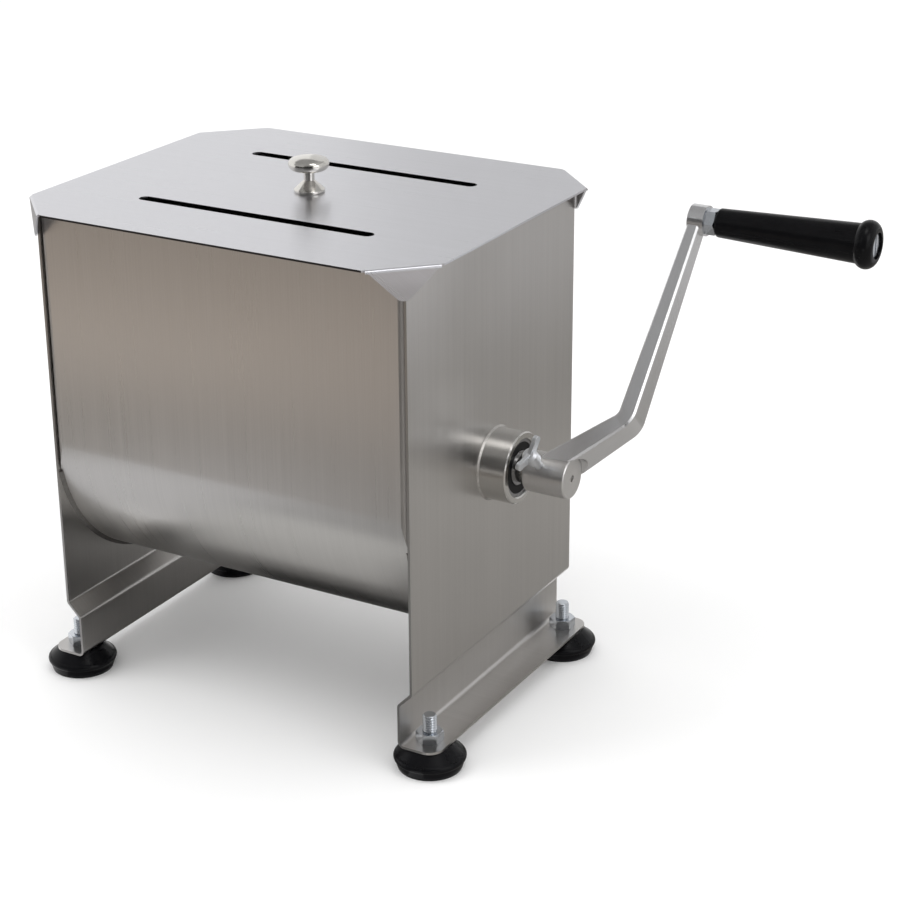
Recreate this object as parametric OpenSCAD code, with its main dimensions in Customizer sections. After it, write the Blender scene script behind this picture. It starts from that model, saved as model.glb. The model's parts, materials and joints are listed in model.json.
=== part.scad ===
// Hand-cranked meat mixer: a stainless U-trough on bent end panels, a paddle shaft on two
// sealed bearings, a lift-off slotted lid and a dog-leg crank with a turning grip.
// Frame: origin on the floor under the middle of the overall box, +Z up, +X towards the crank,
// the front wall faces -Y. Sub-parts are drawn about the middle of the tank.

/* [Tank] */
// Length over the end panels
tank_len = 250; // [220:1:300]
// Width over the front and back walls
tank_w = 197; // [180:1:220]
// Height of the tank's rim above the floor
rim_z = 306.3; // [290:0.1:330]
// Height of the trough's lowest line above the joggle
trough_clear = 10.8; // [7:0.1:20]
// Sheet of the trough
trough_t = 1.2; // [0.8:0.1:2]
// Sheet of the end panels
panel_t = 1.5; // [1:0.1:2.5]
// Outer radius where the walls' ends roll in to the panels
corner_r = 4; // [3:0.1:7]
// Width of the lip of each rolled end on the panel
seam_lip = 3; // [2:0.5:6]
// Height over which each rolled end runs out into the half-round
seam_run = 16; // [4:0.5:30]
// Gap between each run-out's tip and the trough weld
seam_gap = 0.5; // [0.3:0.1:3]
// Leg of the fillet weld along the half-round
trough_weld = 2.2; // [1:0.1:4]

/* [End panel foot] */
// Height where the joggle's two planes meet
joggle_z = 50.7; // [46:0.1:56]
// Inward step of the joggle
joggle_in = 8.6; // [6:0.1:12]
// Slope of the joggle from upright
joggle_angle = 45; // [30:1:50]
// Inner bend radius of the panel's folds
bend_r = 2.5; // [1:0.1:4]
// Width of the foot flange from the strip's outer face
flange_w = 23.6; // [20:0.1:30]
// Plan radius of the flange's outer corners
flange_corner_r = 9; // [3:0.5:14]

/* [Feet] */
// Height of the rubber foot
foot_h = 15; // [11:0.5:20]
// Widest diameter of the rubber foot
foot_d = 43; // [36:0.5:50]
// Diameter of the foot's sole
foot_sole_d = 38; // [30:0.5:44]
// Diameter of the foot's top
foot_top_d = 27; // [22:0.5:32]
// Height of the foot's widest line
foot_wide_z = 7; // [5:0.5:10]
// Edge radius of the foot at its widest line
foot_edge_r = 2.4; // [1:0.1:4]
// Distance of the feet from the strip's outer face
foot_out = 11.6; // [10:0.1:14]
// Distance of the feet from the flange's ends
foot_inset = 14.5; // [12:0.5:25]
// Diameter of the foot stud
stud_d = 8.5; // [6:0.1:10]
// Height of the stud above the flange
stud_up = 17; // [14:0.5:26]
// Depth of the stud in the rubber
stud_in = 11; // [5:0.5:13]
// Nut across its flats
nut_af = 14.3; // [13:0.1:17]
// Nut height
nut_h = 6.5; // [5:0.1:10]
// Radial room round the stud in the flange
stud_room = 0.25; // [0.1:0.05:1]

/* [Lid] */
// Overhang of the lid past the end panels
lid_end = 15; // [10:0.5:30]
// Overhang of the lid past the walls
lid_side = 17.1; // [10:0.1:30]
// Lid sheet
lid_t = 1.2; // [0.8:0.1:2]
// Gap between the folded corners and the tank's upright edges
tab_gap = 0.57; // [0.3:0.01:2]
// Tip radius of the folded corner
tab_tip_r = 6; // [2:0.5:9]
// Inner radius of the fold
fold_r = 0.6; // [0.3:0.1:2]
// Slot length
slot_len = 160; // [100:1:200]
// Slot width
slot_w = 8; // [5:0.5:12]
// Distance of the slots from the lid's middle
slot_y = 58; // [30:1:80]

/* [Knob] */
// Knob base diameter
knob_base_d = 18.4; // [14:0.1:24]
// Knob base edge height
knob_base_t = 1.8; // [1:0.1:3]
// Height of the knob base's cone
knob_base_h = 7.2; // [5:0.1:9]
// Knob neck diameter
knob_neck_d = 6.4; // [5.4:0.1:9]
// Height of the neck's top
knob_neck_h = 12; // [10:0.1:16]
// Knob head diameter
knob_head_d = 24.3; // [18:0.1:30]
// Height of the head's widest line
knob_mid_h = 16.8; // [15:0.1:19]
// Radius of the head's rim
knob_rim_r = 3.4; // [1.5:0.1:4]
// Overall knob height
knob_h = 21.7; // [20.5:0.1:26]
// Knob screw diameter
knob_screw_d = 4; // [3:0.5:5]
// Depth of the screw in the knob
knob_screw_in = 9; // [5:0.5:10.5]
// Diameter of the screw's head
knob_screw_head_d = 8; // [6:0.5:10]
// Height of the screw's head
knob_screw_head_h = 2.4; // [1.5:0.1:4]

/* [Bearings] */
// Bearing bore
bearing_d = 17; // [15:1:18]
// Bearing outside diameter
bearing_od = 35; // [34:1:38]
// Bearing width
bearing_w = 10; // [8:0.5:11]
// Ball diameter
ball_d = 4.76; // [4:0.01:5]
// Number of balls in a bearing
ball_n = 9; // [6:1:11]
// Housing outside diameter
housing_od = 43.4; // [40:0.2:48]
// Housing length from the panel
housing_len = 18; // [15:0.5:22]
// Depth of the bearing below the housing's end
bearing_sink = 1.5; // [1.3:0.1:3]
// Bore of the housing behind the bearing
housing_back_d = 27; // [26:0.5:30]
// Edge chamfer of the housing
housing_chamfer = 0.7; // [0.3:0.1:1.2]
// Leg of the weld round the housing
housing_weld = 1; // [0.6:0.1:3]
// Thickness of the cap on the closed side
cap_t = 1.2; // [0.6:0.1:1.3]
// Sleeve diameter of the shaft bush
bush_d = 24; // [21:0.5:25]
// Flange diameter of the shaft bush
bush_flange_d = 36; // [30:0.5:44]
// Flange thickness of the shaft bush
bush_flange_t = 2.5; // [1.5:0.1:4]
// How far the bush's sleeve stands out of the panel
bush_out = 2; // [1:0.1:4]
// Radial running clearance of shafts, spindles and screws
run_gap = 0.05; // [0.02:0.01:0.1]
// Gap round parts that turn past each other
turn_gap = 0.3; // [0.2:0.05:0.6]

/* [Paddles] */
// Diameter of the shaft inside the tank
shaft_d = 22; // [19:0.5:28]
// Gap between the thick shaft and the bushes
shaft_end_gap = 0.8; // [0.3:0.1:3]
// Number of paddle stations along the shaft
station_n = 4; // [3:1:5]
// Turn of each station from the one before
station_turn = 90; // [60:15:120]
// Angle of the first station from upright
station_first = 22; // [0:1:90]
// Stem diameter
stem_d = 10; // [8:0.5:12]
// Reach of the stem from the axis
stem_reach = 80; // [70:1:86]
// Gap between the paddles and the trough
paddle_gap = 5; // [3:0.5:10]
// Blade length along the shaft
blade_len = 56; // [36:1:62]
// Blade depth towards the axis
blade_depth = 30; // [24:1:40]
// Blade thickness
blade_t = 2.5; // [1.5:0.1:4]
// Blade pitch from the shaft's line
blade_pitch = 32; // [15:1:45]
// Corner radius of the blades
blade_corner_r = 6; // [2:0.5:9]

/* [Crank] */
// Crank angle from upright at rest, towards the back
crank_angle = 43; // [0:1:90]
// Gap from the housing to the hub
hub_gap = 5.8; // [4.5:0.1:10]
// Hub diameter
hub_d = 24.6; // [23.4:0.1:30]
// Hub length
hub_len = 26.8; // [24:0.1:36]
// Hub end wall
hub_wall = 3.2; // [2:0.1:6]
// Hub edge chamfer
hub_chamfer = 0.6; // [0.3:0.1:1]
// Centre drilling in the hub's end
centre_d = 4; // [1.5:0.1:5]
// Depth of the flat on the shaft under the wing screw
flat_depth = 1; // [0.5:0.1:2]
// Gap between the shaft's end and the hub's end wall
shaft_tip_gap = 0.4; // [0.2:0.1:2]
// Slope of the arm's lower leg from the radial line
arm_slope = 43.6; // [30:0.1:55]
// Radius at which the arm's inner faces meet
arm_knee = 42.2; // [36:0.1:55]
// Distance of the arm's inner face beyond the hub's end
arm_out = 17.8; // [15:0.1:30]
// Inner radius of the arm's bend
arm_bend_r = 6; // [3:0.5:12]
// Arm width at the hub
arm_hub_w = 22.4; // [16:0.1:23]
// Arm thickness at the hub
arm_hub_t = 14.5; // [10:0.1:15.6]
// Arm width at the bend
arm_knee_w = 18.3; // [14:0.1:21]
// Arm thickness at the bend
arm_knee_t = 10.3; // [6:0.1:12]
// Arm width at the handle
arm_end_w = 12; // [10:0.1:16]
// Arm thickness at the handle
arm_end_t = 7.7; // [4:0.1:9]
// Edge chamfer of the arm
arm_chamfer = 1.1; // [0.5:0.1:2]
// Crank radius, from the shaft's axis to the handle's
crank_r = 174.2; // [140:0.2:220]
// Diameter of the boss at the handle
boss_d = 18.4; // [17:0.1:24]
// Length of the boss
boss_len = 10; // [8:0.1:16]

/* [Wing screw] */
// Wing screw diameter
wing_screw_d = 6; // [5:0.5:7]
// Distance of the wing screw from the hub's inner end
wing_at = 9.2; // [8:0.1:11]
// Collar diameter
wing_collar_d = 9; // [8:0.5:12]
// Collar height
wing_collar_h = 8.5; // [5:0.5:10]
// Length of shank showing between the collar and the hub
wing_gap = 7.5; // [3:0.5:10]
// Span over the wings
wing_span = 23; // [20:0.5:26]
// Height of the wings' tips above the hub
wing_up = 20; // [16:0.5:24]
// Radius of the wings' lobes
wing_lobe_r = 2.6; // [2:0.1:4]
// Thickness of the wings
wing_t = 2.4; // [1.5:0.1:3]
// Turn of the wings from the arm's line
wing_turn = 13; // [-90:1:90]
// Gap between the clamped screw's tip and the shaft's flat
screw_tip_gap = 0.1; // [0.05:0.05:0.5]

/* [Handle] */
// Spindle diameter
spindle_d = 9.5; // [8:0.1:10]
// Thickness of the jam nut
jam_h = 6.5; // [4:0.1:9]
// End play of the grip
grip_play = 0.5; // [0.2:0.1:1]
// Grip length
grip_len = 98.1; // [80:0.1:120]
// Grip diameter at the arm
grip_d = 17.4; // [16:0.1:22]
// Grip diameter before its rim
grip_neck_d = 24; // [20:0.1:26]
// Grip rim diameter
grip_rim_d = 28.6; // [26:0.1:34]
// Radius of the rim's roll
grip_rim_r = 6; // [4:0.1:7]
// Rounding of the grip's near edge
grip_edge_r = 1.3; // [0.5:0.1:2.4]
// Diameter of the recess in the grip's end
recess_d = 15.6; // [14.4:0.1:17]
// Depth of the recess
recess_h = 4; // [3.4:0.1:6]
// Diameter of the spindle's head
head_d = 13.8; // [12:0.1:14]
// Thickness of the spindle's head
head_t = 2.2; // [1.5:0.1:2.4]
// Width of the slot in the spindle's head
head_slot_w = 1.8; // [1:0.1:3]
// Depth of the slot in the spindle's head
head_slot_h = 1; // [0.5:0.1:1.2]

/* [Hidden] */
$fn = 96;

// Overshoot of cutting tools
over = 1;
// Edge break of turned shafts, studs and screws
edge = 0.6;

// Tank
half_len = tank_len / 2;
half_w = tank_w / 2;
// Height of the shaft's axis, which is the centre of the half-round
axis_z = joggle_z + trough_clear + half_w;
panel_in = half_len - panel_t;
// Half-angle of the trough weld, kept inside the panel's edges
weld_half = asin(half_w / (half_w + trough_weld));
seam_x = panel_in - corner_r;
seam_y = half_w - corner_r;
// Tip of each rolled end, just above the end of the trough weld
seam_z = axis_z - half_w * cos(weld_half) + seam_gap;

// End panel, measured on the sheet's outer face
strip_x = half_len - joggle_in;
joggle_low_z = joggle_z - joggle_in / tan(joggle_angle);
bend_out_r = bend_r + panel_t;
// Flats that make up each bend
bend_steps = 8;
flange_top = foot_h + panel_t;
flange_x = strip_x + flange_w;
foot_x = strip_x + foot_out;
foot_y = half_w - foot_inset;

// Lid, with each side of its folded corners
lid_z = rim_z + lid_t;
lid_len = tank_len + 2 * lid_end;
lid_w = tank_w + 2 * lid_side;
lid_corner = lid_end + lid_side - sqrt(2) * (lid_t + tab_gap);
fold_out = fold_r + lid_t;
// Flat part of the fold inside the lid's sheet
fold_lap = 3;
tab_line = ((lid_len + lid_w) / 2 - lid_corner) / sqrt(2);
tab_half = lid_corner / sqrt(2);
tab_leg = tab_half - fold_out;
screw_room = 0.2;

// Knob dome, tangent to the head's rim
knob_rim_x = knob_head_d / 2 - knob_rim_r;
dome_rise = knob_h - knob_mid_h;
dome_r = (pow(knob_rim_x, 2) + pow(dome_rise, 2) - pow(knob_rim_r, 2)) / (2 * (dome_rise - knob_rim_r));
dome_z = knob_h - dome_r;

// Bearings, measured outwards from the panel's outer face
seat = housing_len - bearing_sink - bearing_w;
pitch_r = (bearing_d + bearing_od) / 4;
ball_r = ball_d / 2;
groove_r = ball_r + turn_gap;
// Ring lands, as a share of the ball's radius
land = ball_r * 0.6;
// Wall of the rings at the seals
seal_wall = 1.9;
seal_in = bearing_d / 2 + seal_wall;
seal_out = bearing_od / 2 - seal_wall;
seal_step = 1.6;
seal_sink = 0.4;
seal_t = 1;
cage_half_w = ball_r + 0.7;
cage_half_t = 0.7;
pocket_gap = 0.1;

// Shaft and hub along +X
journal_r = bearing_d / 2;
shaft_half = panel_in - bush_flange_t - shaft_end_gap;
station_pitch = 2 * shaft_half / station_n;
hub_x = half_len + housing_len + hub_gap;
hub_end = hub_x + hub_len;
shaft_tip = hub_end - hub_wall - shaft_tip_gap;
// Depth of the centre drilling, as a share of the end wall
centre_h = 0.7 * hub_wall;
shaft_tail = half_len + seat + bearing_w - turn_gap;
wing_x = hub_x + wing_at;
flat_r = journal_r - flat_depth;
blade_r = half_w - trough_t - paddle_gap;
blade_z = blade_r - blade_depth;

// Arm, in the crank's plane: along the shaft, and out from its axis
arm_in_x = hub_end + arm_out;
bend_z = arm_knee + arm_bend_r * tan(arm_slope / 2);
bend_x = arm_in_x - arm_bend_r;
// Root of the arm, inside the hub's circle
arm_root_z = 1;
arm_axis = [sin(arm_slope), 0, cos(arm_slope)];
arm_face = [cos(arm_slope), 0, -sin(arm_slope)];
knee_mid = [bend_x, 0, bend_z] + (arm_bend_r + arm_knee_t / 2) * arm_face;
root_mid = knee_mid - (knee_mid[2] - arm_root_z) / arm_axis[2] * arm_axis;

// Handle along +X
boss_x = arm_in_x + boss_len;
grip_x = boss_x + jam_h + grip_play;
grip_end = grip_x + grip_len;
head_x = grip_end - recess_h + grip_play;
rim_mid = grip_len - grip_rim_r;

// Middle of the overall box, measured from the middle of the tank
frame_x = (grip_end - foot_x - foot_d / 2) / 2;
frame_y = (crank_r * sin(crank_angle) + grip_rim_d / 2 - lid_w / 2) / 2;

// Moves a sub-part from the tank's own middle to the part's frame
module in_frame() {
    translate([-frame_x, -frame_y, 0]) children();
}

// Draws its children at both ends of the tank, mirrored
module both_ends() {
    children();
    mirror([1, 0, 0]) children();
}

// Draws its children at the four corners, mirrored
module four_corners() {
    both_ends() {
        children();
        mirror([0, 1, 0]) children();
    }
}

// Turns a profile of radius and height about the shaft's axis, height along +X, angle 0 downwards
module about_shaft(angle = 360, start = 0) {
    translate([0, 0, axis_z]) rotate([0, 90, 0]) rotate([0, 0, start])
        rotate_extrude(angle = angle) children();
}

// The crank's own frame: its arm along +Z, its near side towards -Y
module in_crank() {
    translate([0, 0, axis_z]) rotate([-crank_angle, 0, 0]) children();
}

// The handle's axis along the child's +Z, level with the floor
module on_handle() {
    in_crank() translate([0, 0, crank_r]) rotate([crank_angle, 0, 0]) rotate([0, 90, 0]) children();
}

// Part of a flat ring between two angles less than half a turn apart
module ring_sector(r_in, r_out, from, to) {
    far = 4 * r_out;
    mid = (from + to) / 2;
    intersection() {
        difference() {
            circle(r = r_out);
            circle(r = r_in);
        }
        polygon([[0, 0], far * [cos(from), sin(from)], far * [cos(mid), sin(mid)], far * [cos(to), sin(to)]]);
    }
}

// Tool that rounds an upright outer corner at +X and +Y
module corner_tool(r, h) {
    difference() {
        cube([r + over, r + over, h]);
        translate([0, 0, -over]) cylinder(r = r, h = h + 2 * over);
    }
}

// Hexagon nut with the corners of both faces turned off
module hex_nut(af, h, bore) {
    corner = af / cos(30) / 2;
    fall = (corner + over - af / 2) * tan(30);
    difference() {
        intersection() {
            rotate([0, 0, 30]) cylinder(r = corner, h = h, $fn = 6);
            rotate_extrude() polygon([[0, 0], [af / 2, 0], [corner + over, fall], [corner + over, h - fall],
                [af / 2, h], [0, h]]);
        }
        translate([0, 0, -over]) cylinder(d = bore, h = h + 2 * over);
    }
}

// End view of the trough, set in from its outer face and raised above the rim
module trough_outline(inset, rise) {
    circle(r = half_w - inset);
    translate([inset - half_w, 0]) square([2 * (half_w - inset), rim_z - axis_z + rise]);
}

// Room of the rolled end at +X and +Y, from its slanted run-out up past the rim
module seam_room() {
    tip = [panel_in + over, seam_z - over * seam_run / corner_r];
    translate([0, half_w + over, 0]) rotate([90, 0, 0]) linear_extrude(corner_r + seam_lip + 2 * over)
        polygon([[seam_x, seam_z + seam_run], tip, [tip[0], rim_z + over], [seam_x, rim_z + over]]);
}

module trough() color("silver") in_frame() difference() {
    translate([-panel_in, 0, axis_z]) rotate([90, 0, 90]) linear_extrude(2 * panel_in) difference() {
        trough_outline(0, 0);
        trough_outline(trough_t, over);
    }
    four_corners() seam_room();
}

// Points round a bend, from one angle to another
function bend_points(middle, r, from, to) = [for (i = [0 : bend_steps])
    middle + r * [cos(from + (to - from) * i / bend_steps), sin(from + (to - from) * i / bend_steps)]];

// Folded profile of an end panel: upright, joggle, strip and foot flange
module panel_profile() {
    half_bend = tan(joggle_angle / 2);
    top = [half_len - bend_out_r, joggle_z + bend_out_r * half_bend];
    low = [strip_x + bend_r, joggle_low_z - bend_r * half_bend];
    heel = [strip_x + bend_r, flange_top + bend_r];
    polygon(concat([[half_len, rim_z]], bend_points(top, bend_out_r, 0, -joggle_angle),
        bend_points(low, bend_r, 180 - joggle_angle, 180), bend_points(heel, bend_r, 180, 270),
        [[flange_x, flange_top], [flange_x, foot_h]], bend_points(heel, bend_out_r, 270, 180),
        bend_points(low, bend_out_r, 180, 180 - joggle_angle), bend_points(top, bend_r, -joggle_angle, 0),
        [[panel_in, rim_z]]));
}

// End panel at +X, with its shaft hole, stud holes and rounded flange
module end_panel() {
    difference() {
        translate([0, half_w, 0]) rotate([90, 0, 0]) linear_extrude(tank_w) panel_profile();
        translate([panel_in - over, 0, axis_z]) rotate([0, 90, 0])
            cylinder(d = bush_d, h = panel_t + 2 * over);
        for (side = [0, 1]) mirror([0, side, 0]) {
            translate([flange_x - flange_corner_r, half_w - flange_corner_r, foot_h - over])
                corner_tool(flange_corner_r, panel_t + 2 * over);
            translate([foot_x, foot_y, foot_h - over])
                cylinder(d = stud_d + 2 * stud_room, h = panel_t + 2 * over);
        }
    }
}

module right_end_panel() color("silver") in_frame() end_panel();

module left_end_panel() color("silver") in_frame() mirror([1, 0, 0]) end_panel();

module corner_seams() color("gray") in_frame() four_corners()
    intersection() {
        translate([seam_x, seam_y, seam_z - over]) linear_extrude(rim_z - seam_z + over) {
            ring_sector(corner_r - trough_t, corner_r, 0, 90);
            translate([corner_r - trough_t, -seam_lip]) square([trough_t, seam_lip]);
        }
        seam_room();
    }

module trough_welds() color("darkgray") in_frame() both_ends()
    about_shaft(2 * weld_half, -weld_half)
        polygon([[half_w, panel_in], [half_w + trough_weld, panel_in], [half_w, panel_in - trough_weld]]);

module rubber_feet() color("black") in_frame() four_corners()
    translate([foot_x, foot_y, 0]) difference() {
        rotate_extrude() {
            polygon([[0, 0], [foot_sole_d / 2, 0], [foot_d / 2 - edge, foot_wide_z - foot_edge_r / 2],
                [foot_d / 2 - edge, foot_wide_z + foot_edge_r / 2], [foot_top_d / 2, foot_h], [0, foot_h]]);
            translate([foot_d / 2 - foot_edge_r, foot_wide_z]) circle(r = foot_edge_r);
        }
        translate([0, 0, foot_h - stud_in]) cylinder(d = stud_d, h = stud_in + over);
    }

module foot_studs() color("gainsboro") in_frame() four_corners()
    translate([foot_x, foot_y, foot_h - stud_in]) rotate_extrude() {
        length = stud_in + panel_t + stud_up;
        rim = stud_d / 2;
        polygon([[0, 0], [rim, 0], [rim, length - edge], [rim - edge, length], [0, length]]);
    }

module foot_nuts() color("gainsboro") in_frame() four_corners()
    translate([foot_x, foot_y, flange_top]) hex_nut(nut_af, nut_h, stud_d);

module bearing_housings() color("lightgray") in_frame() both_ends()
    about_shaft() translate([0, half_len]) {
        bore = bearing_od / 2;
        rim = housing_od / 2;
        chamfer = housing_chamfer;
        difference() {
            polygon([[0, 0], [rim, 0], [rim, housing_len - chamfer], [rim - chamfer, housing_len],
                [0, housing_len]]);
            translate([0, -over]) square([housing_back_d / 2, housing_len + 2 * over]);
            translate([0, seat]) square([bore, housing_len]);
            polygon([[bore - over, housing_len - chamfer - over], [bore + chamfer + over, housing_len + over],
                [bore - over, housing_len + over]]);
        }
    }

module housing_welds() color("darkgray") in_frame() both_ends()
    about_shaft() translate([housing_od / 2, half_len])
        polygon([[0, 0], [housing_weld, 0], [0, housing_weld]]);

// Draws its children in the bearing's own profile: radius, and depth from its inner face
module in_bearings() {
    both_ends() about_shaft() translate([0, half_len + seat]) children();
}

module outer_rings() color("lightsteelblue") in_frame() in_bearings() difference() {
    translate([pitch_r + land, 0]) square([bearing_od / 2 - pitch_r - land, bearing_w]);
    translate([0, -over]) square([seal_out, seal_step + over]);
    translate([0, bearing_w - seal_step]) square([seal_out, seal_step + over]);
    translate([pitch_r, bearing_w / 2]) circle(r = groove_r);
}

module inner_rings() color("lightsteelblue") in_frame() in_bearings() difference() {
    translate([journal_r, 0]) square([pitch_r - land - journal_r, bearing_w]);
    translate([seal_in, -over]) square([pitch_r, seal_step + over]);
    translate([seal_in, bearing_w - seal_step]) square([pitch_r, seal_step + over]);
    translate([pitch_r, bearing_w / 2]) circle(r = groove_r);
}

module bearing_seals() color("dimgray") in_frame() in_bearings()
    for (depth = [seal_sink, bearing_w - seal_sink - seal_t])
        translate([seal_in + turn_gap, depth]) square([seal_out - seal_in - turn_gap, seal_t]);

// One sphere for each ball of the bearing at +X
module ball_row(r) {
    translate([half_len + seat + bearing_w / 2, 0, axis_z]) for (i = [0 : ball_n - 1])
        rotate([i * 360 / ball_n, 0, 0]) translate([0, 0, pitch_r]) sphere(r = r);
}

module bearing_balls() color("white") in_frame() both_ends() ball_row(ball_r);

module ball_cages() color("burlywood") in_frame() both_ends() difference() {
    about_shaft() translate([pitch_r - cage_half_t, half_len + seat + bearing_w / 2 - cage_half_w])
        square([2 * cage_half_t, 2 * cage_half_w]);
    ball_row(ball_r + pocket_gap);
}

module bearing_cap() color("silver") in_frame() mirror([1, 0, 0])
    about_shaft() translate([0, half_len + seat + bearing_w]) difference() {
        square([bearing_od / 2, cap_t]);
        translate([-over, -over]) square([seal_out + over, turn_gap + over]);
    }

module shaft_bushes() color("white") in_frame() both_ends()
    about_shaft() difference() {
        union() {
            translate([0, panel_in - bush_flange_t]) square([bush_flange_d / 2, bush_flange_t]);
            translate([0, panel_in]) square([bush_d / 2, panel_t + bush_out]);
        }
        translate([0, panel_in - bush_flange_t - over])
            square([journal_r + run_gap, bush_flange_t + panel_t + bush_out + 2 * over]);
    }

module paddle_shaft() color("silver") in_frame() difference() {
    about_shaft() polygon([[0, -shaft_tail], [journal_r - edge, -shaft_tail], [journal_r, edge - shaft_tail],
        [journal_r, -shaft_half], [shaft_d / 2, -shaft_half], [shaft_d / 2, shaft_half],
        [journal_r, shaft_half], [journal_r, shaft_tip - edge], [journal_r - edge, shaft_tip],
        [0, shaft_tip]]);
    in_crank() translate([hub_x, -journal_r - over, -journal_r - over])
        cube([hub_len, journal_r + over - flat_r, 2 * (journal_r + over)]);
}

// Draws its children at each paddle: stem along +Z from the shaft's axis
module at_paddles() {
    for (i = [0 : station_n - 1]) for (side = [0, 180])
        translate([(i - (station_n - 1) / 2) * station_pitch, 0, axis_z])
            rotate([station_first + i * station_turn + side, 0, 0]) children();
}

// Pitched blade with rounded inner corners, before its outer edge is turned
module blade_plate() {
    span = blade_len - 2 * blade_corner_r;
    rise = blade_depth + over;
    rotate([0, 0, blade_pitch]) translate([0, blade_t / 2, blade_z]) rotate([90, 0, 0])
        linear_extrude(blade_t) {
            translate([-span / 2, 0]) square([span, rise]);
            translate([-blade_len / 2, blade_corner_r]) square([blade_len, rise - blade_corner_r]);
            for (end = [-1, 1]) translate([end * span / 2, blade_corner_r]) circle(r = blade_corner_r);
        }
}

module paddle_stems() color("silver") in_frame() at_paddles() difference() {
    cylinder(d = stem_d, h = stem_reach);
    translate([-stem_d, 0, 0]) rotate([0, 90, 0]) cylinder(d = shaft_d, h = 2 * stem_d);
    blade_plate();
}

module paddle_blades() color("silver") in_frame() at_paddles() intersection() {
    blade_plate();
    translate([-blade_len, 0, 0]) rotate([0, 90, 0]) cylinder(r = blade_r, h = 2 * blade_len);
}

// Folded corner of the lid at +X and +Y, its fold line square to the 45 degree diagonal
module lid_tab() {
    tip = tab_tip_r / sqrt(2);
    translate([(lid_len - lid_corner) / 2, (lid_w - lid_corner) / 2, lid_z - fold_out]) rotate([0, 0, 45]) {
        translate([-fold_out, 0, 0]) rotate([90, 0, 0])
            linear_extrude(2 * tab_half, center = true) {
                ring_sector(fold_r, fold_out, 0, 90);
                translate([-fold_lap, fold_r]) square([fold_lap, lid_t]);
            }
        translate([-lid_t, 0, 0]) rotate([90, 0, 90]) linear_extrude(lid_t) {
            polygon([[-tab_leg, 0], [-tip, tip - tab_leg], [tip, tip - tab_leg], [tab_leg, 0]]);
            translate([0, 2 * tip - tab_leg]) circle(r = tab_tip_r);
        }
    }
}

module lid() color("gainsboro") in_frame() difference() {
    union() {
        translate([0, 0, rim_z]) linear_extrude(lid_t) intersection() {
            square([lid_len, lid_w], center = true);
            rotate(45) square(2 * (tab_line - fold_out), center = true);
        }
        four_corners() lid_tab();
    }
    for (side = [-1, 1]) translate([0, side * slot_y, rim_z - over]) linear_extrude(lid_t + 2 * over) {
        square([slot_len - slot_w, slot_w], center = true);
        for (end = [-1, 1]) translate([end * (slot_len - slot_w) / 2, 0]) circle(d = slot_w);
    }
    translate([0, 0, rim_z - over]) cylinder(d = knob_screw_d + 2 * screw_room, h = lid_t + 2 * over);
}

module lid_knob() color("lightgray") in_frame() translate([0, 0, lid_z]) difference() {
    rotate_extrude() {
        neck = knob_neck_d / 2;
        lean = [knob_rim_x, knob_mid_h - dome_z] / norm([knob_rim_x, knob_mid_h - dome_z]);
        square([neck, knob_mid_h]);
        polygon([[0, 0], [knob_base_d / 2 - edge, 0], [knob_base_d / 2, edge], [knob_base_d / 2, knob_base_t],
            [neck, knob_base_h], [0, knob_base_h]]);
        polygon([[0, knob_neck_h], [neck, knob_neck_h], [knob_rim_x, knob_mid_h - knob_rim_r],
            [knob_rim_x, knob_mid_h], [0, knob_mid_h]]);
        translate([knob_rim_x, knob_mid_h]) circle(r = knob_rim_r);
        intersection() {
            translate([0, dome_z]) circle(r = dome_r);
            polygon([[0, dome_z], [0, dome_z] + 2 * dome_r * lean, [0, dome_z + 2 * dome_r]]);
            translate([0, knob_mid_h]) square(knob_head_d);
        }
    }
    translate([0, 0, -over]) cylinder(d = knob_screw_d, h = knob_screw_in + over);
}

module knob_screw() color("gainsboro") in_frame() translate([0, 0, rim_z]) rotate_extrude()
    polygon([[0, -knob_screw_head_h], [knob_screw_head_d / 2 - edge, -knob_screw_head_h],
        [knob_screw_head_d / 2, edge - knob_screw_head_h], [knob_screw_head_d / 2, 0], [knob_screw_d / 2, 0],
        [knob_screw_d / 2, lid_t + knob_screw_in], [0, lid_t + knob_screw_in]]);

module crank_hub() color("lightgray") in_frame() difference() {
    about_shaft() translate([0, hub_x]) {
        rim = hub_d / 2;
        difference() {
            polygon([[0, 0], [rim - hub_chamfer, 0], [rim, hub_chamfer], [rim, hub_len - hub_chamfer],
                [rim - hub_chamfer, hub_len], [0, hub_len]]);
            translate([0, -over]) square([journal_r + run_gap, hub_len - hub_wall + over]);
            translate([0, hub_len - centre_h]) square([centre_d / 2, centre_h + over]);
        }
    }
    in_crank() translate([wing_x, 0, 0]) rotate([90, 0, 0])
        cylinder(d = wing_screw_d + 2 * run_gap, h = hub_d);
}

// Corners of a chamfered bar section: thickness across, width along +Y
function bar_section(t, w) = let (a = t / 2, b = w / 2, c = arm_chamfer)
    [[-a, c - b], [c - a, -b], [a - c, -b], [a, c - b], [a, b - c], [a - c, b], [c - a, b], [-a, b - c]];

// Corners of one section of the arm: its centre, the direction of its thickness, its thickness and width
function arm_ring(middle, face, t, w) = [for (p = bar_section(t, w)) middle + p[0] * face + [0, p[1], 0]];

// Sections round the arm's bend
function knee_rings() = [for (i = [0 : bend_steps])
    let (a = arm_slope * (i / bend_steps - 1), face = [cos(a), 0, sin(a)])
    arm_ring([bend_x, 0, bend_z] + (arm_bend_r + arm_knee_t / 2) * face, face, arm_knee_t, arm_knee_w)];

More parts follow.
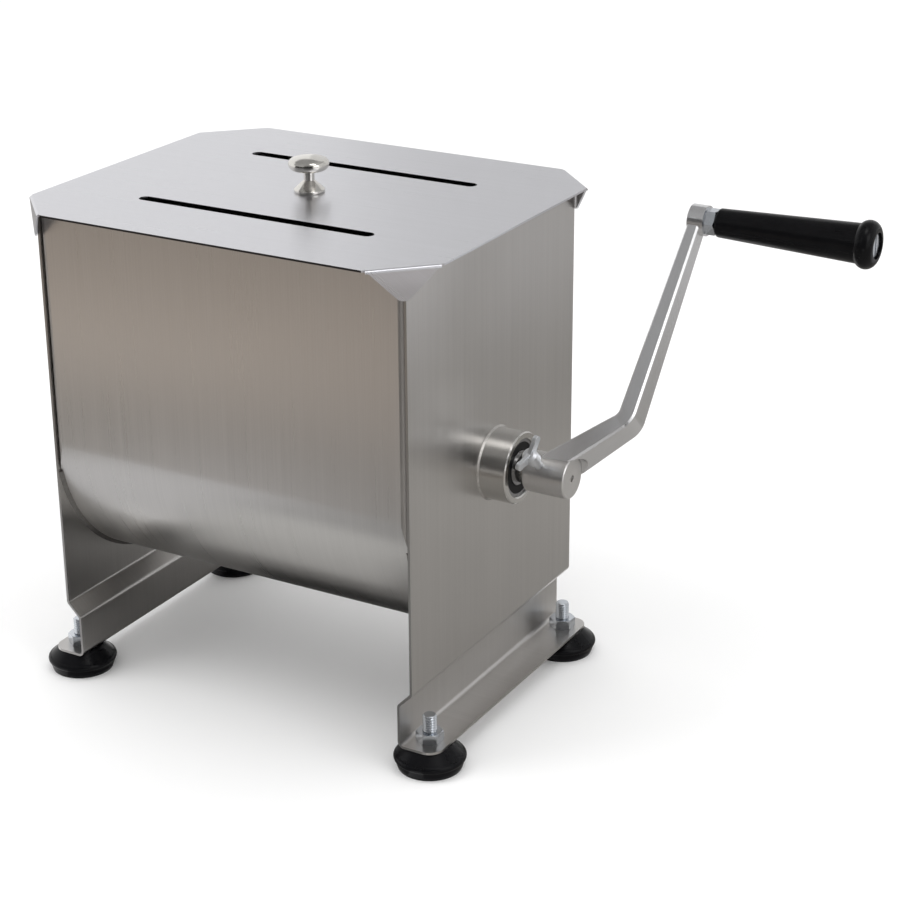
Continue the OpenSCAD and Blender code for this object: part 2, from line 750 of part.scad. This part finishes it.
// Dog-leg bar from the hub to the handle
module arm_bar() {
    rings = concat([arm_ring(root_mid, arm_face, arm_hub_t, arm_hub_w)], knee_rings(),
        [arm_ring([arm_in_x + arm_end_t / 2, 0, crank_r], [1, 0, 0], arm_end_t, arm_end_w)]);
    count = len(rings[0]);
    last = (len(rings) - 1) * count;
    polyhedron([for (ring = rings) each ring], concat([[for (i = [0 : count - 1]) i]],
        [[for (i = [1 : count]) last + count - i]],
        [for (k = [0 : count : last - count]) for (i = [0 : count - 1])
            [k + count + i, k + count + (i + 1) % count, k + (i + 1) % count, k + i]]));
}

module crank_arm() color("lightgray") in_frame() in_crank() difference() {
    union() {
        arm_bar();
        translate([arm_in_x, 0, crank_r]) rotate([0, 90, 0]) cylinder(d = boss_d, h = boss_len);
    }
    translate([hub_x - hub_len, 0, 0]) rotate([0, 90, 0]) cylinder(d = hub_d, h = 2 * hub_len + arm_out);
    translate([arm_in_x - over, 0, crank_r]) rotate([0, 90, 0])
        cylinder(d = spindle_d, h = boss_len + 2 * over);
}

module wing_screw() color("gainsboro") in_frame() in_crank() translate([wing_x, 0, 0]) rotate([90, 0, 0]) {
    foot = hub_d / 2 + wing_gap;
    tip = flat_r + screw_tip_gap;
    collar = wing_collar_d / 2;
    waist = foot + wing_collar_h / 2;
    cone = collar / 3;
    lobe = [wing_span / 2 - wing_lobe_r, hub_d / 2 + wing_up - wing_lobe_r];
    across = wing_lobe_r * [0.9, -0.43];
    translate([0, 0, tip]) cylinder(d = wing_screw_d, h = foot + over - tip);
    translate([0, 0, foot]) cylinder(r = collar, h = wing_collar_h - cone);
    translate([0, 0, foot + wing_collar_h - cone]) cylinder(r1 = collar, r2 = collar - cone, h = cone);
    rotate([90, 0, 90 - wing_turn]) linear_extrude(wing_t, center = true)
        for (side = [0, 1]) mirror([side, 0]) {
            polygon([[0, waist], [collar - edge, waist], lobe + across, lobe - across,
                [0, foot + wing_collar_h]]);
            translate(lobe) circle(r = wing_lobe_r);
        }
}

module handle_spindle() color("gainsboro") in_frame() on_handle() difference() {
    rim = spindle_d / 2;
    rotate_extrude() polygon([[0, arm_in_x], [rim - edge, arm_in_x], [rim, arm_in_x + edge], [rim, head_x],
        [head_d / 2, head_x], [head_d / 2, head_x + head_t], [0, head_x + head_t]]);
    translate([-head_d, -head_slot_w / 2, head_x + head_t - head_slot_h])
        cube([2 * head_d, head_slot_w, head_slot_h + over]);
}

module jam_nut() color("gainsboro") in_frame() on_handle()
    translate([0, 0, boss_x]) hex_nut(nut_af, jam_h, spindle_d);

module grip() color("black") in_frame() on_handle() translate([0, 0, grip_x]) rotate_extrude() difference() {
    union() {
        square([grip_d / 2 - grip_edge_r, grip_len - grip_rim_r]);
        translate([grip_d / 2 - grip_edge_r, grip_edge_r]) circle(r = grip_edge_r);
        polygon([[0, grip_edge_r], [grip_d / 2, grip_edge_r], [grip_neck_d / 2, rim_mid], [0, rim_mid]]);
        translate([0, rim_mid]) square([grip_rim_d / 2 - grip_rim_r, grip_rim_r]);
        translate([grip_rim_d / 2 - grip_rim_r, rim_mid]) circle(r = grip_rim_r);
    }
    translate([-over, -over]) square([spindle_d / 2 + run_gap + over, grip_len + 2 * over]);
    translate([-over, grip_len - recess_h]) square([recess_d / 2 + over, recess_h + over]);
}

trough();
right_end_panel();
left_end_panel();
corner_seams();
trough_welds();
rubber_feet();
foot_studs();
foot_nuts();
bearing_housings();
housing_welds();
outer_rings();
inner_rings();
bearing_balls();
ball_cages();
bearing_seals();
bearing_cap();
shaft_bushes();
paddle_shaft();
paddle_stems();
paddle_blades();
lid();
lid_knob();
knob_screw();
crank_hub();
crank_arm();
wing_screw();
handle_spindle();
jam_nut();
grip();
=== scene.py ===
"""Looks of the hand-cranked meat mixer: brushed steel, zinc, rubber and plastic, threads on the foot
studs, a pale floor, cards of painted reflection, soft light and the camera. Lengths are in metres, in the
part's own frame."""
import json
import math

import bmesh
import bpy
from mathutils import Matrix, Vector


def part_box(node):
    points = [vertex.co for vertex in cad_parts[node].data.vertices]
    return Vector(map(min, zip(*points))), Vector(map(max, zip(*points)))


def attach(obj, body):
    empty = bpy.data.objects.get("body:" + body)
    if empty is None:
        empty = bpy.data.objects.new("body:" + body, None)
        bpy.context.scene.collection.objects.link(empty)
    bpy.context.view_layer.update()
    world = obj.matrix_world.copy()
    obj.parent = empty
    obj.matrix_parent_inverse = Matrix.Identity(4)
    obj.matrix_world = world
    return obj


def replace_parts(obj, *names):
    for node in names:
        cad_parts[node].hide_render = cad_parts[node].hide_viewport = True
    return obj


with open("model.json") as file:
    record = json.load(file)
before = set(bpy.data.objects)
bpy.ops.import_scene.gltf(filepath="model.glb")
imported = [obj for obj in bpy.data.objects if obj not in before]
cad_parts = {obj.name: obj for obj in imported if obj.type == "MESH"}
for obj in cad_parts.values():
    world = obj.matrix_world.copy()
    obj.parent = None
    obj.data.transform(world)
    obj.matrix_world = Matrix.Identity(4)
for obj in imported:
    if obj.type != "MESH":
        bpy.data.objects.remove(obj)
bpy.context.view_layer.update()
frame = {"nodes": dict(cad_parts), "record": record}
nodes = frame["nodes"]
MM = 0.001

# Places taken from the frame
LID_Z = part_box("lid")[1].z
TANK_LOW, TANK_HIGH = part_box("trough")
TANK_X = (TANK_LOW.x + TANK_HIGH.x) / 2
TANK_Y = (TANK_LOW.y + TANK_HIGH.y) / 2
STUD_LOW, STUD_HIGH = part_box("foot_studs")

# Camera of the photograph, measured from the middle of the lid's top
CAMERA_FROM_LID = Vector((0.7037, -1.0551, 0.3537))
CAMERA_AZIMUTH = math.radians(30.01)
CAMERA_ELEVATION = math.radians(22.29)
CAMERA_ROLL = math.radians(-0.39)
CAMERA_LENS = 88.7
CAMERA_SENSOR = 36.0

# Rounding of machined edges and of the arm's, and the crank's lean from upright
EDGE = 0.35 * MM
ARM_EDGE = 0.12 * MM
CRANK_ANGLE = math.radians(43)

# Thread of the foot studs, the steepness of its flanks, and its sides and steps in one turn
STUD_D = 8.5 * MM
STUD_DEPTH = 1.0 * MM
STUD_PITCH = 1.5875 * MM
STUD_CHAMFER = 0.8 * MM
FLANK_SLOPE = 2.2
THREAD_SIDES = 40
THREAD_STEPS = 8

# Colours of the bare sheet and of the plating
STEEL = (0.60, 0.585, 0.57)
ZINC = (0.62, 0.65, 0.69)

# Marks on metal, in cycles a metre along X, Y and Z: fine hairs and broad streaks
ACROSS_X = {"fine": (1500, 9, 9), "broad": (220, 3, 3)}
ACROSS_Y = {"fine": (9, 1500, 9), "broad": (3, 220, 3)}
TOOL_MARKS = {"fine": (1500, 90, 90), "broad": (160, 40, 40)}
ARM_MARKS = {"fine": (1300, 1300, 30), "broad": (150, 150, 8)}
DRESSED_MARKS = {"fine": (900, 900, 60), "broad": (300, 300, 30)}
WELD_RIPPLES = {"fine": (700, 700, 700), "broad": (200, 200, 200)}

# Duller clouds on metal in cycles a metre, and the shares of hairs, streaks and clouds in its finish
CLOUDS = (14, 14, 14)
HAIR_SHARE = 0.5
STREAK_SHARE = 0.3
CLOUD_SHARE = 0.2

# How far brushing draws out a highlight
DRAWN_OUT = 0.55

# Direction of the cut edges of panels and lid, on which shade is painted, and how squarely a face looks along
# it to be one
CUT_WAY = (0, 1, 0)
CUT_SQUARE = 0.95

# Share of a folded corner's drop that lies across the lid's grain in the flat sheet
FOLD_SHARE = math.sqrt(0.5)

# Dust on rubber and plastic in cycles a metre, its darkest and palest tint, and what it does to roughness
DUST = (60, 60, 60)
DUST_DARK = 0.85
DUST_PALE = 1.2
DUST_SMOOTHS = 0.05
DUST_ROUGHENS = 0.07

# Part of a noise's range that a finish uses, and how rough the noise is
NOISE_LOW = 0.3
NOISE_HIGH = 0.7
NOISE_ROUGH = 0.55

# Sockets of a colour mix
MIX_FACTOR = 0
MIX_FIRST = 6
MIX_SECOND = 7
MIX_RESULT = 2


def grey(tone):
    """A neutral colour."""
    return (tone, tone, tone)


# Floor, the reach of the cards that lie on it, and the height of one layer of cards
FLOOR_REACH = 15
CARD_REACH = 3.0
CARD_Z = 0.002

# Lines at which cards on the floor meet, along X and along Y
LEFT_X = -0.40
POOL_X = -0.20
TURN_X = -0.08
RIGHT_X = 0.055
ARM_X = 0.46
FAR_Y = -0.68
MID_Y = -0.54
FRONT_Y = -0.39
UNDER_Y = -0.135
BACK_Y = 0.30

# Cards on the floor, painted light and shade that only metal mirrors: lowest corner, highest corner, layer
# and colour
SIDE = (0.38, 0.37, 0.355)
FLOOR_CARDS = {
    "front_card": ((-CARD_REACH, -CARD_REACH), (CARD_REACH, FRONT_Y), 1, (0.49, 0.43, 0.38)),
    "tab_card": ((0.40, -CARD_REACH), (CARD_REACH, FRONT_Y), 2, (0.36, 0.335, 0.32)),
    "far_card": ((-CARD_REACH, -CARD_REACH), (-0.44, FAR_Y), 2, (0.32, 0.28, 0.245)),
    "right_card": ((RIGHT_X, FRONT_Y), (CARD_REACH, CARD_REACH), 1, SIDE),
    # Painted highlight on the arm's outer face, and painted shade on the panel's top beside it to make up for
    # it
    "panel_shade_card": ((0.24, 0.32), (ARM_X, 0.95), 2, (0.25, 0.24, 0.225)),
    "arm_highlight_card": ((ARM_X, 0.42), (0.85, 1.0), 2, (0.68, 0.68, 0.70)),
    "back_card": ((-CARD_REACH, BACK_Y), (RIGHT_X, CARD_REACH), 1, SIDE),
    "left_card": ((-CARD_REACH, FRONT_Y), (LEFT_X, BACK_Y), 1, SIDE),
    # Painted light and shade in the front wall's reflection: paler at its middle, darker low down
    "wall_light_card": ((-0.80, FAR_Y), (LEFT_X, MID_Y), 2, (0.68, 0.60, 0.53)),
    "wall_shade_card": ((-0.70, MID_Y), (RIGHT_X, FRONT_Y), 2, (0.26, 0.25, 0.24)),
    # Painted pool of light on the floor just in front of the tank, brightest at the left and falling off to
    # the right, seen only in reflections
    "painted_light_pool_left": ((LEFT_X, FRONT_Y), (POOL_X, UNDER_Y), 1, (0.62, 0.62, 0.63)),
    "painted_light_pool_middle": ((POOL_X, FRONT_Y), (TURN_X, UNDER_Y), 1, grey(0.38)),
    "painted_light_pool_right": ((TURN_X, FRONT_Y), (RIGHT_X, UNDER_Y), 1, grey(0.24)),
    # Painted shadow of the tank on the floor beneath it, seen only in reflections
    "painted_shadow_under_tank": ((-0.205, UNDER_Y), (0.045, 0.12), 1, (0.28, 0.275, 0.27)),
    # Painted highlight: a bright patch that brightens the belly of the trough's curve in reflection
    "shine_card": ((-0.19, -0.25), (-0.03, -0.085), 2, (0.62, 0.62, 0.61)),
    # Painted shade under the front of the tank, darkening the underside of the trough's curve in reflection
    "shade_card": ((-0.14, -0.055), (0.0, 0.01), 2, grey(0.06)),
}

# Cards of painted reflection that stand on the floor: the two ends of their foot, height and colour
UPRIGHT_CARDS = {
    # Painted glint: a bright card that the arm's lower chamfer mirrors
    "glint_card": ((0.505, -1.03), (0.875, -0.80), 0.16, grey(0.9)),
    "dark_card": ((-2.2, -2.0), (0.2, -2.6), 1.3, grey(0.05)),
    "camera_card": ((0.2, -2.6), (2.4, -1.6), 2.0, grey(0.03)),
    "right_wall": ((1.0, CARD_REACH), (CARD_REACH, 0.4), 2.7, grey(0.62)),
    "back_wall": ((-1.95, CARD_REACH), (1.0, CARD_REACH), 3.0, grey(0.70)),
}

# Level cards of painted reflection overhead: lowest corner, highest corner, height and colour
ROOF_CARDS = {
    "roof_card": ((-2.4, -0.5), (0.0, 2.4), 2.6, grey(0.30)),
    "right_roof": ((0.0, -0.5), (CARD_REACH, CARD_REACH), 2.7, grey(0.42)),
}

# Cards of painted reflection that lean or have slanting sides: four corners and colour
CAMERA_FLOOR_Z = 3 * CARD_Z
CORNER_CARDS = {
    "camera_floor": ([(-0.03, -0.42, CAMERA_FLOOR_Z), (0.40, -0.42, CAMERA_FLOOR_Z),
                      (0.40, -2.6, CAMERA_FLOOR_Z), (-1.30, -2.6, CAMERA_FLOOR_Z)], (0.16, 0.15, 0.14)),
    "grey_card": ([(-2.6, -1.6, 1.3), (0.3, -2.4, 1.3), (0.3, -0.9, 3.2), (-2.6, -0.1, 3.2)], grey(0.34)),
    "camera_roof": ([(0.2, -2.6, 2.0), (2.4, -1.6, 2.0), (1.4, -0.5, 2.6), (-0.3, -0.5, 2.6)], grey(0.28)),
}

# Lamps: place, width, power in watts and whether metal mirrors them, all facing one point in the tank
LAMP_TARGET = Vector((TANK_X, TANK_Y, 0.18))
LAMPS = {
    "key": ((-1.2, -0.9, 2.2), 1.0, 11, False),
    "top": ((0.55, -0.15, 1.75), 0.6, 3, True),
    "side": ((1.65, -0.3, 1.2), 0.8, 2.5, True),
}


# Nodes that the materials are made of
def start(name):
    """A new material with its node tree and shader."""
    material = bpy.data.materials.new(name)
    material.use_nodes = True
    tree = material.node_tree
    return material, tree, tree.nodes["Principled BSDF"]


def add(tree, kind, **inputs):
    """A node of that kind with some of its inputs set."""
    made = tree.nodes.new(kind)
    for socket, value in inputs.items():
        made.inputs[socket].default_value = value
    return made


def maths(tree, operation, first, second=None):
    """The output of a math node; each operand is a socket or a number."""
    made = tree.nodes.new("ShaderNodeMath")
    made.operation = operation
    for i, value in enumerate((first, second)):
        if value is None:
            continue
        if isinstance(value, (int, float)):
            made.inputs[i].default_value = value
        else:
            tree.links.new(value, made.inputs[i])
    return made.outputs[0]


def object_coords(tree):
    """Places in the piece's own coordinates."""
    return tree.nodes.new("ShaderNodeTexCoord").outputs["Object"]


def noise(tree, vector, per_metre, detail=3.0):
    """Noise with so many cycles a metre along each axis."""
    mapping = add(tree, "ShaderNodeMapping", Scale=per_metre)
    texture = add(tree, "ShaderNodeTexNoise", Scale=1.0, Detail=detail, Roughness=NOISE_ROUGH)
    tree.links.new(vector, mapping.inputs["Vector"])
    tree.links.new(mapping.outputs[0], texture.inputs["Vector"])
    return texture.outputs["Fac"]


def spread(tree, value, low, high):
    """A noise remapped to run from low to high."""
    ends = {"From Min": NOISE_LOW, "From Max": NOISE_HIGH, "To Min": low, "To Max": high}
    made = add(tree, "ShaderNodeMapRange", **ends)
    tree.links.new(value, made.inputs["Value"])
    return made.outputs["Result"]


def colour_mix(tree, factor, blend="MIX"):
    """A mix of two colours, led by a factor."""
    mix = tree.nodes.new("ShaderNodeMix")
    mix.data_type = "RGBA"
    mix.blend_type = blend
    tree.links.new(factor, mix.inputs[MIX_FACTOR])
    return mix


def between(tree, factor, low, high):
    """A colour between two others."""
    mix = colour_mix(tree, factor)
    mix.inputs[MIX_FIRST].default_value = (*low, 1)
    mix.inputs[MIX_SECOND].default_value = (*high, 1)
    return mix.outputs[MIX_RESULT]


def scaled(colour, by):
    """A colour made darker or paler."""
    return tuple(min(1.0, c * by) for c in colour)


def paint_edge_shade(tree, colour, shade):
    """A colour with painted shade on the cut edges of a sheet."""
    along = tree.nodes.new("ShaderNodeVectorMath")
    along.operation = "DOT_PRODUCT"
    along.inputs[1].default_value = CUT_WAY
    tree.links.new(tree.nodes.new("ShaderNodeTexCoord").outputs["Normal"], along.inputs[0])
    facing = maths(tree, "ABSOLUTE", along.outputs["Value"])
    mix = colour_mix(tree, maths(tree, "GREATER_THAN", facing, CUT_SQUARE), "MULTIPLY")
    mix.inputs[MIX_SECOND].default_value = (*grey(shade), 1)
    tree.links.new(colour, mix.inputs[MIX_FIRST])
    return mix.outputs[MIX_RESULT]


def bump(tree, shader, height, distance, edge=0.0):
    """Relief from a height, over edges that are rounded by so many metres."""
    made = add(tree, "ShaderNodeBump", Strength=1.0, Distance=distance)
    tree.links.new(height, made.inputs["Height"])
    if edge:
        rounded = add(tree, "ShaderNodeBevel", Radius=edge)
        tree.links.new(rounded.outputs[0], made.inputs["Normal"])
    tree.links.new(made.outputs[0], shader.inputs["Normal"])


# Kinds of finish
def brushed(name, colour, roughness, fine, broad, grain=object_coords, contrast=0.06, gloss=0.045,
            depth_mm=0.03, edge=0.0, tangent=None, painted_edge_shade=None):
    """Brushed metal: hairs, streaks and clouds in its colour and gloss, and hairs in its relief. The marks
    follow the grain, highlights are drawn out round the tangent axis, and shade is painted on cut edges."""
    material, tree, shader = start(name)
    vector = grain(tree)
    hair = noise(tree, vector, fine)
    streak = noise(tree, vector, broad, detail=2.0)
    cloud = noise(tree, vector, CLOUDS, detail=1.0)
    hairs = maths(tree, "MULTIPLY", hair, HAIR_SHARE)
    streaks = maths(tree, "MULTIPLY", streak, STREAK_SHARE)
    clouds = maths(tree, "MULTIPLY", cloud, CLOUD_SHARE)
    mixed = maths(tree, "ADD", maths(tree, "ADD", hairs, streaks), clouds)
    dark = scaled(colour, 1 - contrast)
    pale = scaled(colour, 1 + contrast)
    tint = between(tree, spread(tree, mixed, 0, 1), dark, pale)
    if painted_edge_shade is not None:
        tint = paint_edge_shade(tree, tint, painted_edge_shade)
    tree.links.new(tint, shader.inputs["Base Color"])
    tree.links.new(spread(tree, mixed, roughness - gloss, roughness + gloss), shader.inputs["Roughness"])
    shader.inputs["Metallic"].default_value = 1.0
    if tangent:
        way = tree.nodes.new("ShaderNodeTangent")
        way.direction_type = "RADIAL"
        way.axis = tangent
        tree.links.new(way.outputs[0], shader.inputs["Tangent"])
        shader.inputs["Anisotropic"].default_value = DRAWN_OUT
    bump(tree, shader, hair, depth_mm * MM, edge)
    return material


def turned(name, colour, roughness, contrast=0.04, edge=EDGE):
    """Turned or plated metal with faint tool marks along the shaft and a few duller clouds."""
    return brushed(name, colour, roughness, **TOOL_MARKS, contrast=contrast, gloss=0.02, depth_mm=0.0004,
                   edge=edge)


def dull(name, colour, roughness, grit, depth_mm, specular=0.4):
    """Plastic or rubber with a moulded grit of so many cycles a metre, and a little dust in its gloss."""
    material, tree, shader = start(name)
    vector = object_coords(tree)
    fine = noise(tree, vector, (grit, grit, grit), detail=4.0)
    dust = noise(tree, vector, DUST)
    tint = between(tree, spread(tree, dust, 0, 1), scaled(colour, DUST_DARK), scaled(colour, DUST_PALE))
    rough = spread(tree, dust, roughness - DUST_SMOOTHS, roughness + DUST_ROUGHENS)
    tree.links.new(tint, shader.inputs["Base Color"])
    tree.links.new(rough, shader.inputs["Roughness"])
    shader.inputs["Specular IOR Level"].default_value = specular
    bump(tree, shader, fine, depth_mm * MM)
    return material


def arm_grain(tree):
    """The crank's own lengthwise line laid along Z."""
    mapping = add(tree, "ShaderNodeMapping", Rotation=(CRANK_ANGLE, 0, 0))
    tree.links.new(object_coords(tree), mapping.inputs["Vector"])
    return mapping.outputs[0]


def lid_grain(tree):
    """The lid's flat pattern: grain along X that keeps its line over the folded corners."""
    split = tree.nodes.new("ShaderNodeSeparateXYZ")
    tree.links.new(object_coords(tree), split.inputs[0])
    across = maths(tree, "SUBTRACT", split.outputs["Y"], TANK_Y)
    drop = maths(tree, "MULTIPLY", maths(tree, "SUBTRACT", LID_Z, split.outputs["Z"]), FOLD_SHARE)
    flat_y = maths(tree, "ADD", across, maths(tree, "MULTIPLY", maths(tree, "SIGN", across), drop))
    flat_x = maths(tree, "SUBTRACT", split.outputs["X"], TANK_X)
    join = tree.nodes.new("ShaderNodeCombineXYZ")
    tree.links.new(flat_x, join.inputs["X"])
    tree.links.new(flat_y, join.inputs["Y"])
    return join.outputs[0]


# Finishes of the material slots
materials = {
    "tank_sheet": brushed("tank_sheet", STEEL, 0.30, **ACROSS_X, tangent="Z"),
    # Painted shade on cut edges: the panels' are darker to offset bright reflections, and the lid's are near
    # black as a painted shadow line under its edge
    "panel_sheet": brushed("panel_sheet", STEEL, 0.32, **ACROSS_Y, tangent="Z", painted_edge_shade=0.6),
    "lid_sheet": brushed("lid_sheet", (0.70, 0.70, 0.73), 0.30, **ACROSS_Y, grain=lid_grain, tangent="X",
                         painted_edge_shade=0.07),
    "dressed_weld": brushed("dressed_weld", scaled(STEEL, 0.85), 0.44, **DRESSED_MARKS, contrast=0.15),
    "weld": brushed("weld", (0.50, 0.48, 0.46), 0.3, **WELD_RIPPLES, contrast=0.3, depth_mm=0.2),
    "rubber": dull("rubber", (0.0035, 0.0035, 0.0045), 0.28, grit=3000, depth_mm=0.006, specular=0.15),
    "seal_rubber": dull("seal_rubber", (0.006, 0.006, 0.007), 0.45, grit=3000, depth_mm=0.01, specular=0.15),
    "zinc": turned("zinc", ZINC, 0.2),
    "turned_steel": turned("turned_steel", (0.62, 0.61, 0.59), 0.19),
    # Bearing steel is painted dark: painted shade for rings that sit in shadow deep in the housing's bore
    "bearing_steel": turned("bearing_steel", (0.30, 0.30, 0.31), 0.22),
    "cage_plastic": dull("cage_plastic", (0.45, 0.33, 0.18), 0.5, grit=2000, depth_mm=0.01),
    "food_plastic": dull("food_plastic", (0.82, 0.82, 0.80), 0.45, grit=2000, depth_mm=0.01),
    "polished_metal": turned("polished_metal", (0.72, 0.70, 0.66), 0.15, contrast=0.03),
    "crank_steel": brushed("crank_steel", (0.80, 0.80, 0.81), 0.25, **ARM_MARKS, grain=arm_grain,
                           contrast=0.04, gloss=0.025, depth_mm=0.002, edge=ARM_EDGE),
    "grip_plastic": dull("grip_plastic", (0.004, 0.004, 0.0045), 0.2, grit=1500, depth_mm=0.001,
                         specular=0.12),
}

# The cast wing screw, the turned hub and the raw welds under the tank differ from the rest of their slots
own_finish = {
    "wing_screw": turned("cast_zinc", (0.82, 0.84, 0.87), 0.42),
    "crank_hub": turned("hub_steel", (0.74, 0.73, 0.72), 0.34),
    "trough_welds": brushed("raw_weld", (0.20, 0.19, 0.18), 0.35, **WELD_RIPPLES, contrast=0.3, depth_mm=0.2),
}
for part in frame["record"]["subparts"]:
    piece = nodes[part["node"]]
    piece.data.materials.clear()
    piece.data.materials.append(own_finish.get(part["node"], materials[part["material_slot"]]))


# Threaded foot studs
def stud_radius(turn, height, high):
    """Radius of a thread at a share of a turn and a height, chamfered at the top."""
    phase = (height / STUD_PITCH - turn) % 1.0
    groove = min(1.0, FLANK_SLOPE * abs(phase - 0.5))
    radius = STUD_D / 2 - STUD_DEPTH * (1.0 - groove)
    return min(radius, STUD_D / 2 - STUD_CHAMFER + (high - height))


def thread_mesh(low, high, spots):
    """One mesh of threaded studs from low to high at each spot, with smooth flanks and flat ends."""
    mesh = bmesh.new()
    rows = int((high - low) / STUD_PITCH * THREAD_STEPS)
    for x, y in spots:
        rings = []
        for row in range(rows + 1):
            z = low + (high - low) * row / rows
            ring = []
            for side in range(THREAD_SIDES):
                turn = side / THREAD_SIDES
                r = stud_radius(turn, z, high)
                angle = 2 * math.pi * turn
                ring.append(mesh.verts.new((x + r * math.cos(angle), y + r * math.sin(angle), z)))
            rings.append(ring)
        for lower, upper in zip(rings, rings[1:]):
            for i in range(THREAD_SIDES):
                j = (i + 1) % THREAD_SIDES
                flank = mesh.faces.new((lower[i], lower[j], upper[j], upper[i]))
                flank.smooth = True
        mesh.faces.new(rings[-1])
        mesh.faces.new(reversed(rings[0]))
    return mesh


def new_piece(name, mesh, body, finish):
    """An object made from a bmesh, riding on a body and its own finish."""
    data = bpy.data.meshes.new(name)
    mesh.to_mesh(data)
    mesh.free()
    made = bpy.data.objects.new(name, data)
    bpy.context.scene.collection.objects.link(made)
    data.materials.append(finish)
    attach(made, body)
    return made


stud_x = (STUD_LOW.x + STUD_D / 2, STUD_HIGH.x - STUD_D / 2)
stud_y = (STUD_LOW.y + STUD_D / 2, STUD_HIGH.y - STUD_D / 2)
threads = thread_mesh(STUD_LOW.z, STUD_HIGH.z, [(x, y) for x in stud_x for y in stud_y])
thread_zinc = turned("thread_zinc", ZINC, 0.24, edge=0.0)
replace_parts(new_piece("stud_threads", threads, "tank", thread_zinc), "foot_studs")


# Floor, and cards of painted reflection
def sheet(name, corners, colour):
    """A flat sheet through four corners with a plain diffuse colour."""
    data = bpy.data.meshes.new(name)
    data.from_pydata(corners, [], [(0, 1, 2, 3)])
    made = bpy.data.objects.new(name, data)
    bpy.context.scene.collection.objects.link(made)
    material, tree, shader = start(name)
    shader.inputs["Base Color"].default_value = (*colour, 1)
    shader.inputs["Roughness"].default_value = 1.0
    shader.inputs["Specular IOR Level"].default_value = 0.0
    data.materials.append(material)
    return made


def card(name, corners, colour):
    """A studio card that only shows in reflections: painted reflection, its colour standing in for the light
    and shade that metal mirrors.
    """
    made = sheet(name, corners, colour)
    made.visible_camera = False
    made.visible_diffuse = False
    made.visible_shadow = False
    made.visible_transmission = False


def level(low, high, height):
    """Corners of a level sheet from its lowest to its highest corner."""
    return [(low[0], low[1], height), (high[0], low[1], height),
            (high[0], high[1], height), (low[0], high[1], height)]


def upright(first, last, height):
    """Corners of a sheet that stands on the floor between two points."""
    return [(*first, 0), (*last, 0), (*last, height), (*first, height)]


sheet("floor", level((-FLOOR_REACH, -FLOOR_REACH), (FLOOR_REACH, FLOOR_REACH), 0), grey(1.0))
for name, (low, high, layer, colour) in FLOOR_CARDS.items():
    card(name, level(low, high, layer * CARD_Z), colour)
for name, (first, last, height, colour) in UPRIGHT_CARDS.items():
    card(name, upright(first, last, height), colour)
for name, (low, high, height, colour) in ROOF_CARDS.items():
    card(name, level(low, high, height), colour)
for name, (corners, colour) in CORNER_CARDS.items():
    card(name, corners, colour)


# Lamps and world
def softbox(name, place, width, power, mirrored):
    """A square area lamp that faces the tank, seen in reflections or not."""
    data = bpy.data.lights.new(name, "AREA")
    data.size = width
    data.energy = power
    made = bpy.data.objects.new(name, data)
    made.location = place
    made.visible_glossy = mirrored
    made.rotation_euler = (LAMP_TARGET - Vector(place)).to_track_quat("-Z", "Y").to_euler()
    bpy.context.scene.collection.objects.link(made)


for name, (place, width, power, mirrored) in LAMPS.items():
    softbox(name, place, width, power, mirrored)

world = bpy.data.worlds.new("studio")
bpy.context.scene.world = world
world.use_nodes = True
sky = world.node_tree.nodes["Background"]
sky.inputs["Color"].default_value = (1, 1, 1, 1)
sky.inputs["Strength"].default_value = 1.0

bpy.context.scene.view_settings.view_transform = "Standard"

# Camera
camera = bpy.data.objects.new("camera", bpy.data.cameras.new("camera"))
bpy.context.scene.collection.objects.link(camera)
bpy.context.scene.camera = camera
camera.data.lens = CAMERA_LENS
camera.data.sensor_width = CAMERA_SENSOR
back = Vector((math.sin(CAMERA_AZIMUTH) * math.cos(CAMERA_ELEVATION),
               -math.cos(CAMERA_AZIMUTH) * math.cos(CAMERA_ELEVATION), math.sin(CAMERA_ELEVATION)))
facing = (-back).to_track_quat("-Z", "Y").to_matrix() @ Matrix.Rotation(CAMERA_ROLL, 3, "Z")
camera.rotation_euler = facing.to_euler()
camera.location = Vector((TANK_X, TANK_Y, LID_Z)) + CAMERA_FROM_LID
